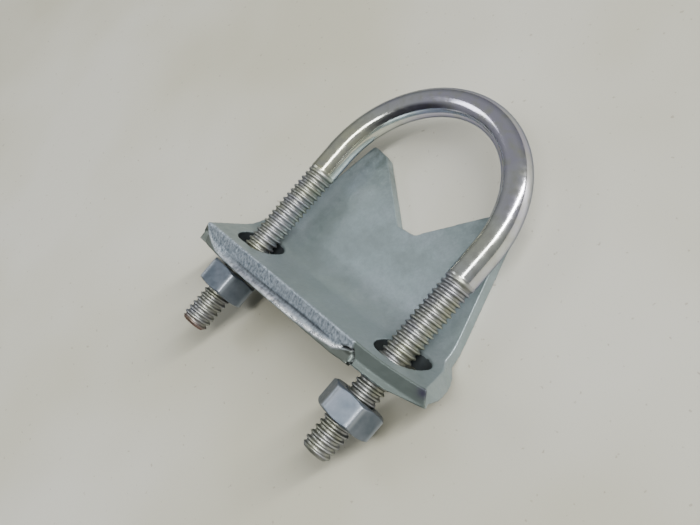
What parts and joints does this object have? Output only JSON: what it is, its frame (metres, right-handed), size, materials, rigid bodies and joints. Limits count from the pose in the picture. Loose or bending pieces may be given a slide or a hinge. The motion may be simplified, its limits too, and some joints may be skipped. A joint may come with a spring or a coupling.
{
  "type": "u-bolt clamp",
  "caption": "U-bolt with a one-piece V-notch clamp bracket held by hex nuts on its threaded legs, for clamping a tube or mast.",
  "frame": {"origin": "centre of the bounding box's footprint, on the plane that the flat back of the V plate lies on", "axes": "+X from the left leg to the right leg, +Y along the legs from their threaded ends towards the arch, +Z out of the V plate's front, up from the surface it lies on"},
  "size_m": [0.0746, 0.0771, 0.0152],
  "materials": {
    "rod_zinc": "polished",
    "bracket_zinc": "satin",
    "nut_zinc": "satin"
  },
  "bodies": {
    "clamp_bracket": {"clamp_bracket": "bracket_zinc"},
    "u_bolt": {"u_bolt": "rod_zinc"},
    "left_nut": {"left_nut": "nut_zinc"},
    "right_nut": {"right_nut": "nut_zinc"}
  },
  "joints": [
    {"name": "u_bolt_slide", "type": "slide", "parent": "clamp_bracket", "child": "u_bolt", "axis": [0, -1, 0], "range_m": [-0.00635, 0.0254]},
    {"name": "left_nut_spin", "type": "hinge", "parent": "clamp_bracket", "child": "left_nut", "pos_m": [-0.02463, -0.02663, 0.0085], "axis": [0, 1, 0], "range_deg": [-1800, 7200]},
    {"name": "right_nut_spin", "type": "hinge", "parent": "clamp_bracket", "child": "right_nut", "pos_m": [0.02297, -0.02663, 0.0085], "axis": [0, 1, 0], "range_deg": [-1800, 7200]}
  ],
  "couplings": [
    {"joint": "left_nut_spin", "follows": "u_bolt_slide", "rad_per_m": 4947.4},
    {"joint": "right_nut_spin", "follows": "u_bolt_slide", "rad_per_m": 4947.4}
  ]
}
